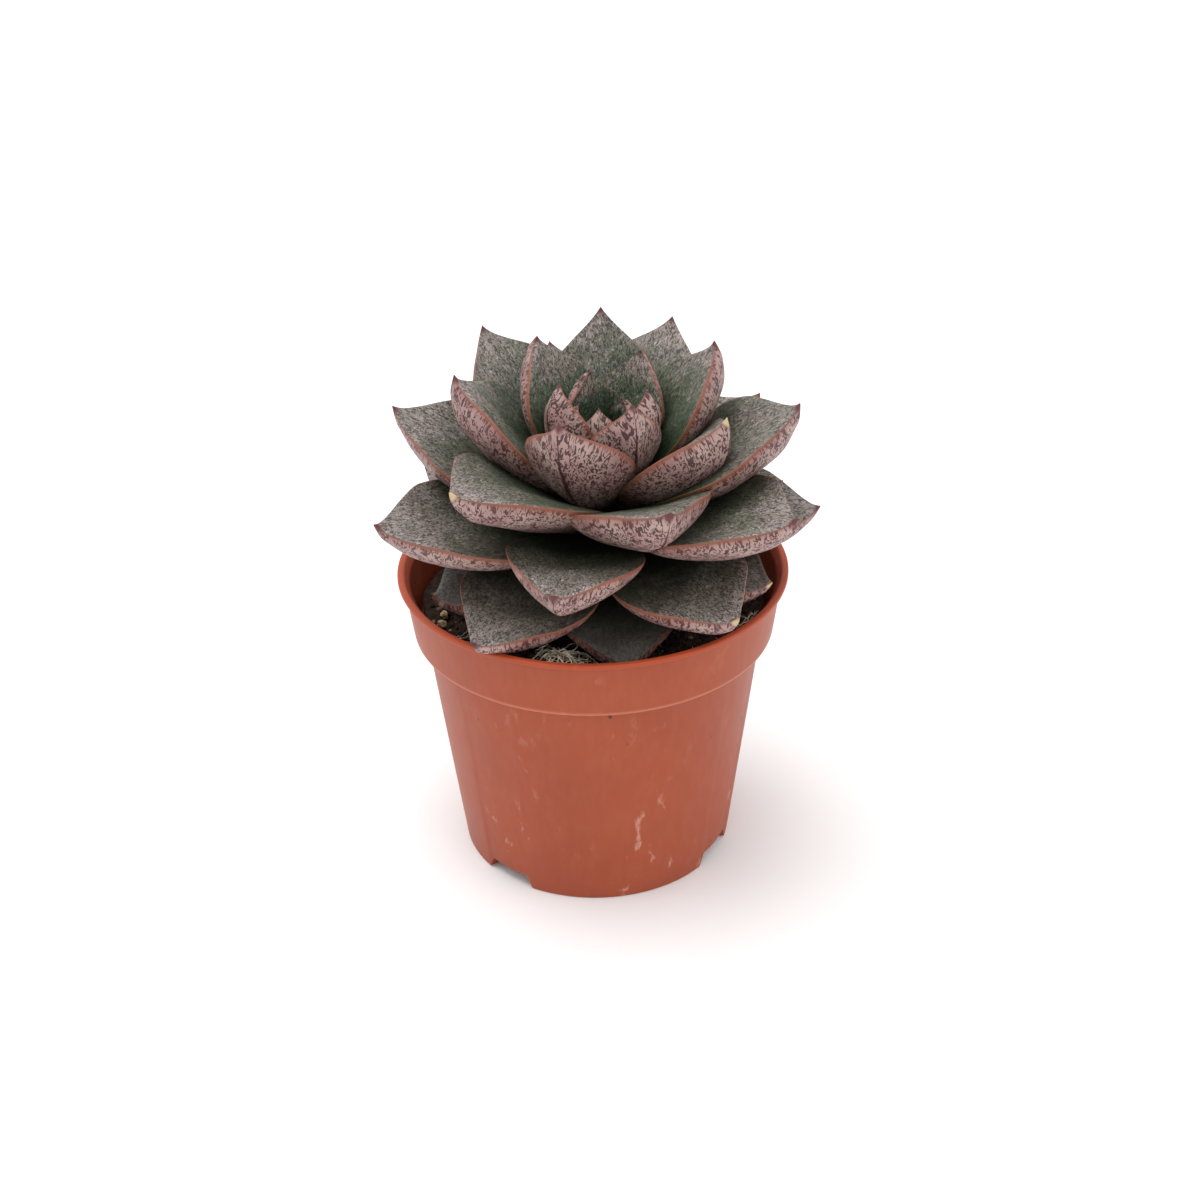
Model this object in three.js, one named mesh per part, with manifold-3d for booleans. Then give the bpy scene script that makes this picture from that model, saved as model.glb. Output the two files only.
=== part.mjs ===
// Potted echeveria: one rosette of fleshy leaves in a small plastic nursery pot.
// Millimetres, +Z up. The origin is on the floor, below the middle of the plant's width and depth.
// Compass used for the plant: 0 degrees points to the front (-Y), +90 degrees to the right (+X).
import * as THREE from 'three';
import { mergeVertices } from 'three/addons/utils/BufferGeometryUtils.js';
import Module from 'manifold-3d';

const wasm = await Module();
wasm.setup();

// ---- driving dimensions ----
const GAP = 0.3;                 // clearance between pieces that touch on the real plant
const POT_AXIS = { x: -1.3, y: 1.1 };
const POT_HEIGHT = 44.2;
const POT_SEGMENTS = 56;
const RIM_RADIUS = 27.5;         // outer lip of the rim
const RIM_INNER_RADIUS = 26.6;
const LIP_HEIGHT = 0.7;
const BAND_TOP_RADIUS = 26.7;    // outer face of the rim band, just under the lip
const BAND_BOTTOM_RADIUS = 25.6;
const BAND_BOTTOM = 35.2;        // height of the step under the band
const BODY_TOP_RADIUS = 24.05;
const FOOT_RADIUS = 19.74;
const WALL = 0.9;
const FOOT_WIDTH = 1.2;
const PLATE_UNDERSIDE = 2.4;     // the base plate sits above the foot ring
const PLATE_TOP = 3.5;
const NOTCH = { width: 8.4, height: 2.1, slope: 0.9, compass: [-41, 61, 139, 241] };
const DRAIN = { radius: 1.8, orbit: 12.5, compass: [10, 100, 190, 280] };

const SOIL_TOP = 38.7;
const MOUND = { compass: -16, radius: 21, height: 2.0, spread: 7 };
const STEM = { x: 1.7, radius: 3.2, foot: 33, top: 57.5 };

const LEAF_COUNT = 38;
const SPIRAL_START = 4;          // compass of the oldest leaf
const SPIRAL_STEP = 137.5;       // the golden angle
const FIRST_NODE = 44.8;         // height on the stem where the oldest leaf grows
const NODE_STEP = 0.39;
const LEAF_START_RADIUS = 2.5;
const LEAN = 9;                  // the rosette faces the front: leaves there lie lower
const LEAF_THICKNESS = 5.4;

// How the leaves change with age: [leaf number, value], number 0 is the oldest.
const RISE = [[0, 6], [5, 9], [8, 15], [13, 21], [16, 29], [19, 40], [22, 44], [25, 54], [28, 63], [31, 76], [37, 88]];
const LENGTH = [[0, 26], [5, 29], [14, 30], [19, 31], [22, 27], [26, 25], [29, 19], [33, 16], [37, 8]];
const WIDTH = [[0, 17], [5, 19], [18, 19.5], [23, 18], [27, 15.5], [29, 11], [33, 9], [37, 4.5]];
const CURL = [[0, 0], [22, 0], [30, 16], [37, 22]];
const TWIST = [[0, 16], [19, 18], [22, 0], [37, 0]];
const CUP = [[0, 0.24], [14, 0.22], [20, 0.18], [37, 0.15]];

// Where a leaf strays from the regular spiral, in degrees and millimetres.
const STRAY = {
  0: { turn: 2, lift: -4, long: -3.5 },
  2: { turn: 19, lift: -2, long: -3 },
  3: { turn: 4, long: -4.5 },
  5: { turn: -5, lift: -2 },
  6: { lift: -3, long: -4 },
  7: { lift: -2, long: -3 },
  8: { turn: 9, lift: -5, long: -1 },
  10: { lift: 5, long: 4, wide: 1 },
  11: { turn: 2, lift: -4, long: -1.5 },
  13: { turn: -4, wide: -1 },
  14: { turn: -5, lift: -3, long: -2 },
  15: { turn: -3, lift: 4, long: 1 },
  16: { turn: 3, lift: -3, long: 2.5, wide: 1 },
  17: { turn: 14, lift: -10, long: -1.5, wide: -1 },
  18: { turn: 1, lift: -1, long: 1, curl: -26 },
  19: { turn: -22, wide: 0.5 },
  20: { turn: -5, long: -0.5 },
  21: { turn: 5, lift: -8, wide: 1 },
  22: { lift: -2 },
  23: { turn: -12, lift: 2, wide: 1 },
  24: { turn: -8, lift: -1, long: -2 },
  25: { turn: -21, lift: -4, wide: -1, curl: 16 },
  26: { turn: 2, lift: 2, long: -1.5, wide: -1 },
  27: { turn: -14, lift: -5, long: 1.5, wide: 1 },
  28: { turn: -17, long: 1, wide: 2 },
  29: { turn: -11, lift: 4 },
  30: { turn: -30, lift: -7, wide: 1.5 },
  31: { lift: 3 },
  32: { turn: -29, long: -1 },
  33: { lift: 3, long: -1 },
  34: { turn: -5, lift: 2, long: -1, wide: -1 },
  35: { turn: -16, lift: -1, long: -1.5 },
};

// Half-width of a leaf along its length, as a share of its greatest half-width.
const OUTLINE = [[0, 0.34], [0.15, 0.5], [0.36, 0.84], [0.56, 1], [0.74, 0.78], [0.86, 0.46], [0.94, 0.2]];
// Thickness along the length, as a share of the greatest thickness.
const FLESH = [[0, 0.5], [0.25, 0.8], [0.55, 1], [0.78, 0.88], [0.93, 0.42], [1, 0.03]];
// Points round a leaf's section: share of the half-width, and share of the thickness.
const SECTION = [[-1, 0], [-0.55, 0.08], [0, 0.12], [0.55, 0.08], [1, 0], [0.6, -0.55], [0, -0.88], [-0.6, -0.55]];
const KEEL = 6;                  // the section's lowest point

// Pumice grains lying on the soil: compass, distance from the pot's axis, size.
const GRAINS = [[28, 22.5, 1.5], [34, 21.8, 1.2], [31, 24, 1.1], [22, 23.2, 1], [-70, 22.5, 1.3],
  [-76, 21.5, 1.1], [68, 24, 1.2], [41, 23, 0.9]];

// ---- finishes ----
const terracottaPlastic = () => new THREE.MeshStandardMaterial({ color: 0xa5563b, roughness: 0.45, metalness: 0 });
const pottingSoil = () => new THREE.MeshStandardMaterial({ color: 0x2b1f18, roughness: 1, metalness: 0 });
const leafSkin = () => new THREE.MeshStandardMaterial({ color: 0x66605b, roughness: 0.55, metalness: 0 });
const stemBark = () => new THREE.MeshStandardMaterial({ color: 0x5d5a45, roughness: 0.7, metalness: 0 });
const driedLeaf = () => new THREE.MeshStandardMaterial({ color: 0x5a3d2a, roughness: 0.85, metalness: 0 });
const pumice = () => new THREE.MeshStandardMaterial({ color: 0xc4b193, roughness: 0.95, metalness: 0 });

// ---- helpers ----
const radians = THREE.MathUtils.degToRad;

function along(table, t) {
  const last = table[table.length - 1];
  if (t >= last[0]) return last[1];
  const k = table.findIndex(([at], i) => t >= at && t < table[i + 1][0]);
  const [a, b] = [table[k], table[k + 1]];
  return THREE.MathUtils.lerp(a[1], b[1], (t - a[0]) / (b[0] - a[0]));
}

function compassPoint(compass, distance, z = 0) {
  const a = radians(compass);
  return new THREE.Vector3(distance * Math.sin(a), -distance * Math.cos(a), z);
}

function weld(geometry) {
  const bare = geometry.clone();
  bare.deleteAttribute('normal');
  bare.deleteAttribute('uv');
  return mergeVertices(bare, 1e-3);
}

function solid(geometry) {
  const welded = weld(geometry);
  return new wasm.Manifold(new wasm.Mesh({
    numProp: 3,
    vertProperties: Float32Array.from(welded.attributes.position.array),
    triVerts: Uint32Array.from(welded.index.array),
  }));
}

function geometryOf(manifold) {
  const { vertProperties, triVerts, numProp } = manifold.getMesh();
  const positions = [];
  for (let i = 0; i < vertProperties.length; i += numProp) positions.push(...vertProperties.slice(i, i + 3));
  const geometry = new THREE.BufferGeometry();
  geometry.setAttribute('position', new THREE.Float32BufferAttribute(positions, 3));
  geometry.setIndex([...triVerts]);
  return geometry;
}

function largest(manifold) {
  return manifold.decompose().reduce((best, one) => (one.volume() > best.volume() ? one : best));
}

// The largest body left after cutting, without parts that hang on by a corner.
function mainBody(manifold) {
  return largest(solid(geometryOf(largest(manifold))));
}

function turned(profile, segments) {
  const lathe = new THREE.LatheGeometry(profile.map(([r, z]) => new THREE.Vector2(r, z)), segments);
  return weld(lathe.rotateX(Math.PI / 2));
}

function named(name, geometry, material) {
  geometry.computeVertexNormals();
  const mesh = new THREE.Mesh(geometry, material);
  mesh.name = name;
  return mesh;
}

// ---- pot ----
function potWallInner(z) {
  const bodySlope = (BODY_TOP_RADIUS - FOOT_RADIUS) / BAND_BOTTOM;
  return FOOT_RADIUS + bodySlope * z - WALL;
}

function potGeometry() {
  const bodyInnerTop = BAND_BOTTOM - WALL;
  const shell = solid(turned([
    [0, PLATE_UNDERSIDE],
    [FOOT_RADIUS - FOOT_WIDTH, PLATE_UNDERSIDE],
    [FOOT_RADIUS - FOOT_WIDTH, 0],
    [FOOT_RADIUS, 0],
    [BODY_TOP_RADIUS, BAND_BOTTOM],
    [BAND_BOTTOM_RADIUS, BAND_BOTTOM],
    [BAND_TOP_RADIUS, POT_HEIGHT - LIP_HEIGHT],
    [RIM_RADIUS - 0.15, POT_HEIGHT - LIP_HEIGHT],
    [RIM_RADIUS, POT_HEIGHT - LIP_HEIGHT / 2],
    [RIM_RADIUS - 0.2, POT_HEIGHT],
    [RIM_INNER_RADIUS, POT_HEIGHT],
    [BAND_TOP_RADIUS - WALL, POT_HEIGHT - 1.2],
    [BAND_BOTTOM_RADIUS - WALL, BAND_BOTTOM + WALL],
    [potWallInner(bodyInnerTop), bodyInnerTop],
    [potWallInner(PLATE_TOP), PLATE_TOP],
    [0, PLATE_TOP],
  ], POT_SEGMENTS));
  return geometryOf(wasm.Manifold.difference([shell, ...notchTools(), ...drainTools()]));
}

// Gaps in the foot ring that let water run out, with sloping ends.
function notchTools() {
  const outline = new THREE.Shape();
  const half = NOTCH.width / 2;
  outline.moveTo(-half, -1);
  outline.lineTo(half, -1);
  outline.lineTo(half - NOTCH.slope, NOTCH.height);
  outline.lineTo(-half + NOTCH.slope, NOTCH.height);
  outline.closePath();
  return NOTCH.compass.map((compass) => {
    const tool = new THREE.ExtrudeGeometry(outline, { depth: 8, bevelEnabled: false });
    tool.rotateX(Math.PI / 2);
    tool.rotateZ(radians(compass));
    const start = compassPoint(compass, FOOT_RADIUS - 5);
    return solid(tool.translate(start.x, start.y, 0));
  });
}

function drainTools() {
  return DRAIN.compass.map((compass) => {
    const tool = new THREE.CylinderGeometry(DRAIN.radius, DRAIN.radius, 4, 10);
    const at = compassPoint(compass, DRAIN.orbit, PLATE_TOP);
    return solid(tool.rotateX(Math.PI / 2).translate(at.x, at.y, at.z));
  });
}

// Everything the leaves must stay clear of at the rim.
function rimClearance() {
  return solid(turned([
    [BODY_TOP_RADIUS - WALL - GAP, BAND_BOTTOM],
    [RIM_RADIUS + GAP, BAND_BOTTOM],
    [RIM_RADIUS + GAP, POT_HEIGHT + GAP],
    [RIM_INNER_RADIUS - GAP, POT_HEIGHT + GAP],
    [BODY_TOP_RADIUS - WALL - GAP, BAND_BOTTOM],
  ], POT_SEGMENTS));
}

// ---- soil ----
function soilHeight(x, y) {
  const peak = compassPoint(MOUND.compass, MOUND.radius);
  const far = Math.hypot(x - peak.x, y - peak.y) / MOUND.spread;
  const ripple = 0.35 * Math.sin(0.55 * x + 1) * Math.cos(0.48 * y);
  return SOIL_TOP + MOUND.height * Math.exp(-far * far) + ripple;
}

function soilGeometry() {
  const edge = potWallInner(BAND_BOTTOM) - GAP;
  const soil = turned([
    [0, PLATE_TOP + GAP],
    [potWallInner(PLATE_TOP) - GAP, PLATE_TOP + GAP],
    [potWallInner(BAND_BOTTOM - WALL) - GAP, BAND_BOTTOM - WALL],
    [edge, BAND_BOTTOM],
    [edge + 1.1, BAND_BOTTOM + 1.2],
    [edge + 1.3, SOIL_TOP],
    [21, SOIL_TOP],
    [16, SOIL_TOP],
    [9, SOIL_TOP],
    [0, SOIL_TOP],
  ], 32);
  const position = soil.attributes.position;
  for (let i = 0; i < position.count; i++) {
    if (position.getZ(i) > SOIL_TOP - 0.01) position.setZ(i, soilHeight(position.getX(i), position.getY(i)));
  }
  return soil;
}

// ---- stem ----
function stemGeometry(grow = 0) {
  return turned([
    [0, STEM.foot - grow],
    [STEM.radius * 0.8 + grow, STEM.foot - grow],
    [STEM.radius + grow, FIRST_NODE - 2],
    [STEM.radius * 0.8 + grow, FIRST_NODE + 8],
    [0, STEM.top + grow],
  ], 12).translate(STEM.x, 0, 0);
}

// ---- leaves ----
// A fleshy leaf lying along +Y with its upper face up: sharp margins, a keel below, a pointed tip.
// grow gives the same leaf with a clear space round it.
function leafGeometry(leaf, grow = 0) {
  const steps = [...OUTLINE.map(([s]) => s), 1];
  const positions = [];
  let y = 0;
  let z = 0;
  let before = 0;
  for (const s of steps) {
    const middle = radians(leaf.curl * ((s + before) / 2 - 0.5));
    y += leaf.length * (s - before) * Math.cos(middle);
    z += leaf.length * (s - before) * Math.sin(middle);
    before = s;
    const slope = radians(leaf.curl * (s - 0.5));
    const tangent = new THREE.Vector3(0, Math.cos(slope), Math.sin(slope));
    const side = new THREE.Vector3(-1, 0, 0);
    const up = new THREE.Vector3(0, -Math.sin(slope), Math.cos(slope));
    side.applyAxisAngle(tangent, -radians(leaf.twist * s));
    up.applyAxisAngle(tangent, -radians(leaf.twist * s));
    const centre = new THREE.Vector3(0, y, z);
    if (s === 0) centre.addScaledVector(tangent, -grow);
    if (s === 1) {
      centre.addScaledVector(tangent, 2 * grow);
      positions.push(...centre.toArray());
      break;
    }
    const halfWidth = leaf.width / 2 * along(OUTLINE, s);
    const thickness = leaf.thickness * along(FLESH, s);
    for (const [u, v] of SECTION) {
      const across = u * (halfWidth + 1.5 * grow);
      const raise = leaf.cup * across * across / halfWidth + thickness * v + grow * Math.sign(v);
      const point = centre.clone().addScaledVector(side, across);
      positions.push(...point.addScaledVector(up, raise).toArray());
    }
  }
  const around = SECTION.length;
  const faces = [];
  const rings = steps.length - 1;
  for (let i = 0; i < rings - 1; i++) {
    for (let j = 0; j < around; j++) {
      const [a, b] = [i * around + j, i * around + (j + 1) % around];
      faces.push(a, a + around, b, b, a + around, b + around);
    }
  }
  const tip = rings * around;
  for (let j = 0; j < around; j++) {
    faces.push(tip - around + j, tip, tip - around + (j + 1) % around);
    if (j !== KEEL && j + 1 !== KEEL) faces.push(KEEL, j, (j + 1) % around);
  }
  const geometry = new THREE.BufferGeometry();
  geometry.setAttribute('position', new THREE.Float32BufferAttribute(positions, 3));
  geometry.setIndex(faces);
  return geometry;
}

function leafPlan(i) {
  const { turn = 0, lift = 0, long = 0, wide = 0, curl = 0 } = STRAY[i] ?? {};
  const compass = SPIRAL_START + SPIRAL_STEP * i + turn;
  const width = along(WIDTH, i) + wide;
  return {
    compass,
    width,
    rise: along(RISE, i) - LEAN * Math.cos(radians(compass)) + lift,
    length: along(LENGTH, i) + long,
    thickness: Math.min(LEAF_THICKNESS, 0.3 * width + 0.4),
    curl: along(CURL, i) + curl,
    twist: along(TWIST, i) * Math.sin(radians(compass)),
    cup: along(CUP, i),
    height: FIRST_NODE + NODE_STEP * i,
    startRadius: LEAF_START_RADIUS,
  };
}

function placement(leaf) {
  const holder = new THREE.Object3D();
  holder.position.copy(compassPoint(leaf.compass, leaf.startRadius, leaf.height));
  holder.position.x += STEM.x;
  holder.rotation.set(radians(leaf.rise), 0, Math.PI + radians(leaf.compass), 'ZXY');
  holder.updateMatrix();
  return holder.matrix;
}

function placedLeaf(leaf, grow) {
  return solid(leafGeometry(leaf, grow).applyMatrix4(placement(leaf)));
}

function leafMesh(name, leaf, body, material) {
  const matrix = placement(leaf);
  const geometry = geometryOf(body).applyMatrix4(matrix.clone().invert());
  const mesh = named(name, geometry, material);
  mesh.applyMatrix4(matrix);
  return mesh;
}

// A shrivelled old leaf lying on the soil at the left.
const WITHERED = {
  compass: -84, width: 7, rise: -4, length: 11, thickness: 1.4, curl: 14, twist: 8, cup: 0.3,
  height: 41.6, startRadius: 14,
};

// Leaves are settled from the youngest outwards, each one giving way to those inside it.
function rosette() {
  const group = new THREE.Group();
  const keepClear = [rimClearance(), solid(stemGeometry(GAP))];
  for (let i = LEAF_COUNT - 1; i >= 0; i--) {
    const leaf = leafPlan(i);
    const body = mainBody(wasm.Manifold.difference([placedLeaf(leaf, 0), ...keepClear]));
    keepClear.push(placedLeaf(leaf, GAP));
    group.add(leafMesh(`leaf_${String(i + 1).padStart(2, '0')}`, leaf, body, leafSkin()));
  }
  const withered = mainBody(wasm.Manifold.difference([placedLeaf(WITHERED, 0), ...keepClear]));
  group.add(leafMesh('leaf_withered', WITHERED, withered, driedLeaf()));
  return group;
}

function beddedSoil() {
  const pressed = [0, 1, 2, 3, 4, 5, 6].map((i) => placedLeaf(leafPlan(i), GAP));
  const tools = [solid(stemGeometry(GAP)), placedLeaf(WITHERED, GAP), ...pressed];
  return geometryOf(mainBody(wasm.Manifold.difference([solid(soilGeometry()), ...tools])));
}

// ---- pumice grains ----
function grainMesh([compass, distance, size], i) {
  const stone = weld(new THREE.IcosahedronGeometry(size / 2, 0));
  stone.rotateX(i).rotateZ(2 * i).scale(1.1, 0.9, 0.8);
  const mesh = named(`pumice_${i + 1}`, stone, pumice());
  const at = compassPoint(compass, distance);
  mesh.position.set(at.x, at.y, soilHeight(at.x, at.y) + size * 0.45 + GAP);
  return mesh;
}

// ---- assembly ----
const plant = new THREE.Group();
plant.position.set(POT_AXIS.x, POT_AXIS.y, 0);
plant.add(named('pot', potGeometry(), terracottaPlastic()));
plant.add(named('soil', beddedSoil(), pottingSoil()));
plant.add(named('stem', stemGeometry(), stemBark()));
plant.add(rosette());
GRAINS.forEach((grain, i) => plant.add(grainMesh(grain, i)));

export default new THREE.Group().add(plant);
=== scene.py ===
"""Potted echeveria: the looks. Millimetres inside the builders, metres in the meshes."""
import math
import random

import bmesh
import bpy
import numpy as np
from mathutils import Matrix, Vector, noise


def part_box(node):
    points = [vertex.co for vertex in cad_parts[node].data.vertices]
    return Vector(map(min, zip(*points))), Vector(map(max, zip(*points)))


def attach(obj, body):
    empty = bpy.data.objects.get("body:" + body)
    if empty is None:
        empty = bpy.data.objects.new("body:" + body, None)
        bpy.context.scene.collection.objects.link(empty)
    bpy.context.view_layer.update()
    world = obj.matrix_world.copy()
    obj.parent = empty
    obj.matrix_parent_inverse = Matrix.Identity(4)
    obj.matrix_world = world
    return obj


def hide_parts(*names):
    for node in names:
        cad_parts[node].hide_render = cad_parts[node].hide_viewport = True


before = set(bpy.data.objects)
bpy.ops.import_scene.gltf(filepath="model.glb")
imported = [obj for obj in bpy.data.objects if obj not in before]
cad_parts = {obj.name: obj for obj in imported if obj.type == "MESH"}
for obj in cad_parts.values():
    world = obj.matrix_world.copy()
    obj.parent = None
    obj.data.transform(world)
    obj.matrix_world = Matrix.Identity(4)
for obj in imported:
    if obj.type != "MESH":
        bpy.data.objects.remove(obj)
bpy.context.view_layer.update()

MM = 0.001
TURN = 2 * math.pi

# ---- sizes in millimetres, the same as the CAD model's ----
POT_HEIGHT = 44.2
RIM_RADIUS = 27.5
RIM_INNER_RADIUS = 26.6
LIP_HEIGHT = 0.7
BAND_TOP_RADIUS = 26.7
BAND_BOTTOM_RADIUS = 25.6
BAND_BOTTOM = 35.2
BODY_TOP_RADIUS = 24.05
FOOT_RADIUS = 19.74
WALL = 0.9
FOOT_WIDTH = 1.2
PLATE_UNDERSIDE = 2.4
PLATE_TOP = 3.5
NOTCH_WIDTH = 8.4
NOTCH_HEIGHT = 2.1
NOTCH_SLOPE = 0.9
NOTCH_COMPASS = (-41, 61, 139, 241)
DRAIN_RADIUS = 1.8
DRAIN_ORBIT = 12.5
DRAIN_COMPASS = (10, 100, 190, 280)
RIM_DEPTH = 1.2
EDGE_ROUNDING = 0.3
SHARP_ANGLE = 35
POT_COLUMNS = 360

SOIL_TOP = 38.7
SOIL_GAP = 0.3
SOIL_COLUMNS = 260
SOIL_RINGS = 78
CRUMB_COUNT = 1500
PUMICE_COUNT = 8
PUMICE_SINK = 0.15
PUMICE_SWELL = 1.15
MOUND_COMPASS = -16
MOUND_RADIUS = 21
MOUND_HEIGHT = 2.0
MOUND_SPREAD = 7
STEM_OFFSET = 1.7
STEM_RADIUS = 3.2
STEM_FOOT = 33
STEM_TOP = 57.5

LEAF_COUNT = 38
SPIRAL_START = 4
SPIRAL_STEP = 137.5
FIRST_NODE = 44.8
NODE_STEP = 0.39
LEAF_START_RADIUS = 2.5
LEAN = 9
LEAF_THICKNESS = 5.4

# How the leaves change with age: (leaf number, value), number 0 is the oldest.
RISE = ((0, 6), (5, 9), (8, 15), (13, 21), (16, 29), (19, 40), (22, 44), (25, 54), (28, 63), (31, 76),
        (37, 88))
LENGTH = ((0, 26), (5, 29), (14, 30), (19, 31), (22, 27), (26, 25), (29, 19), (33, 16), (37, 8))
WIDTH = ((0, 17), (5, 19), (18, 19.5), (23, 18), (27, 15.5), (29, 11), (33, 9), (37, 4.5))
CURL = ((0, 0), (22, 0), (30, 16), (37, 22))
TWIST = ((0, 16), (19, 18), (22, 0), (37, 0))
CUP = ((0, 0.24), (14, 0.22), (20, 0.18), (37, 0.15))

# Where a leaf strays from the regular spiral, in degrees and millimetres. The values are
# rounded from a least-squares fit of the visible leaves and from a tip-by-tip correction.
STRAY = {
    0: dict(turn=2, lift=-4, long=-3.5),
    2: dict(turn=19, lift=-2, long=-3),
    3: dict(turn=4, long=-4.5),
    5: dict(turn=-5, lift=-2),
    6: dict(lift=-3, long=-4),
    7: dict(lift=-2, long=-3),
    8: dict(turn=9, lift=-5, long=-1),
    10: dict(lift=5, long=4, wide=1),
    11: dict(turn=2, lift=-4, long=-1.5),
    13: dict(turn=-4, wide=-1),
    14: dict(turn=-5, lift=-3, long=-2),
    15: dict(turn=-3, lift=4, long=1),
    16: dict(turn=3, lift=-3, long=2.5, wide=1),
    17: dict(turn=14, lift=-10, long=-1.5, wide=-1),
    18: dict(turn=1, lift=-1, long=1, curl=-26),
    19: dict(turn=-22, wide=0.5),
    20: dict(turn=-5, long=-0.5),
    21: dict(turn=5, lift=-8, wide=1),
    22: dict(lift=-2),
    23: dict(turn=-12, lift=2, wide=1),
    24: dict(turn=-8, lift=-1, long=-2),
    25: dict(turn=-21, lift=-4, wide=-1, curl=16),
    26: dict(turn=2, lift=2, long=-1.5, wide=-1),
    27: dict(turn=-14, lift=-5, long=1.5, wide=1),
    28: dict(turn=-17, long=1, wide=2),
    29: dict(turn=-11, lift=4),
    30: dict(turn=-30, lift=-7, wide=1.5),
    31: dict(lift=3),
    32: dict(turn=-29, long=-1),
    33: dict(lift=3, long=-1),
    34: dict(turn=-5, lift=2, long=-1, wide=-1),
    35: dict(turn=-16, lift=-1, long=-1.5),
}
DRIED_TIPS = {3, 8, 18, 24}

OUTLINE = ((0, 0.34), (0.15, 0.52), (0.36, 0.86), (0.55, 1), (0.7, 0.86), (0.82, 0.54), (0.91, 0.25),
           (0.965, 0.09), (1, 0))
FLESH = ((0, 0.5), (0.25, 0.8), (0.55, 1), (0.78, 0.88), (0.93, 0.42), (1, 0.03))


# ---- small helpers ----
def along(table, t):
    """The table's value at t, with straight lines between its points."""
    at, values = zip(*table)
    return float(np.interp(t, at, values))


def smooth(table, t):
    """The table's value at each t on a smooth curve that doesn't overshoot its points."""
    x, y = (np.array(v, float) for v in zip(*table))
    step = np.diff(x)
    rate = np.diff(y) / step
    slope = np.concatenate([[rate[0]], np.zeros(len(x) - 2), [rate[-1]]])
    for i in range(1, len(x) - 1):
        if rate[i - 1] * rate[i] > 0:
            slope[i] = 2 * rate[i - 1] * rate[i] / (rate[i - 1] + rate[i])
    k = np.clip(np.searchsorted(x, t, side="right") - 1, 0, len(x) - 2)
    u = (t - x[k]) / step[k]
    return ((1 + 2 * u) * (1 - u) ** 2 * y[k] + u * (1 - u) ** 2 * step[k] * slope[k]
            + u * u * (3 - 2 * u) * y[k + 1] - u * u * (1 - u) * step[k] * slope[k + 1])


def compass_point(compass, distance, z=0.0):
    """A point that far from the axis: 0 degrees is the front (-Y), 90 the right (+X)."""
    a = math.radians(compass)
    return Vector((distance * math.sin(a), -distance * math.cos(a), z))


def srgb(r, g, b):
    """A colour written as 0-255 screen values, as linear light with alpha 1."""
    return tuple(c / 255 / 12.92 if c <= 10 else ((c / 255 + 0.055) / 1.055) ** 2.4 for c in (r, g, b)) + (1,)


def pot_axis():
    low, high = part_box("pot")
    return Vector(((low[0] + high[0]) / 2, (low[1] + high[1]) / 2, 0)) / MM


AXIS = pot_axis()
STEM_AXIS = AXIS + Vector((STEM_OFFSET, 0, 0))


def mesh_object(name, points, faces, material, smooth_faces=True):
    """A mesh from points in millimetres in the row frame."""
    mesh = bpy.data.meshes.new(name)
    mesh.from_pydata([tuple(float(c) * MM for c in p) for p in points], [], faces)
    mesh.materials.append(material)
    mesh.polygons.foreach_set("use_smooth", [smooth_faces] * len(mesh.polygons))
    mesh.update()
    obj = bpy.data.objects.new(name, mesh)
    bpy.context.scene.collection.objects.link(obj)
    return obj


def add_piece(obj, slot, *nodes):
    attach(obj, "root")
    if nodes:
        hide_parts(*nodes)
    return obj


def set_attribute(obj, name, values):
    layer = obj.data.attributes.new(name, "FLOAT", "POINT")
    layer.data.foreach_set("value", np.asarray(values, float))


def grid_faces(rows, columns, closed=True):
    """Quads between rows of points, wrapping round each row when closed."""
    faces = []
    for i in range(rows - 1):
        for j in range(columns if closed else columns - 1):
            k = (j + 1) % columns
            faces.append((i * columns + j, i * columns + k, (i + 1) * columns + k, (i + 1) * columns + j))
    return faces


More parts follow.
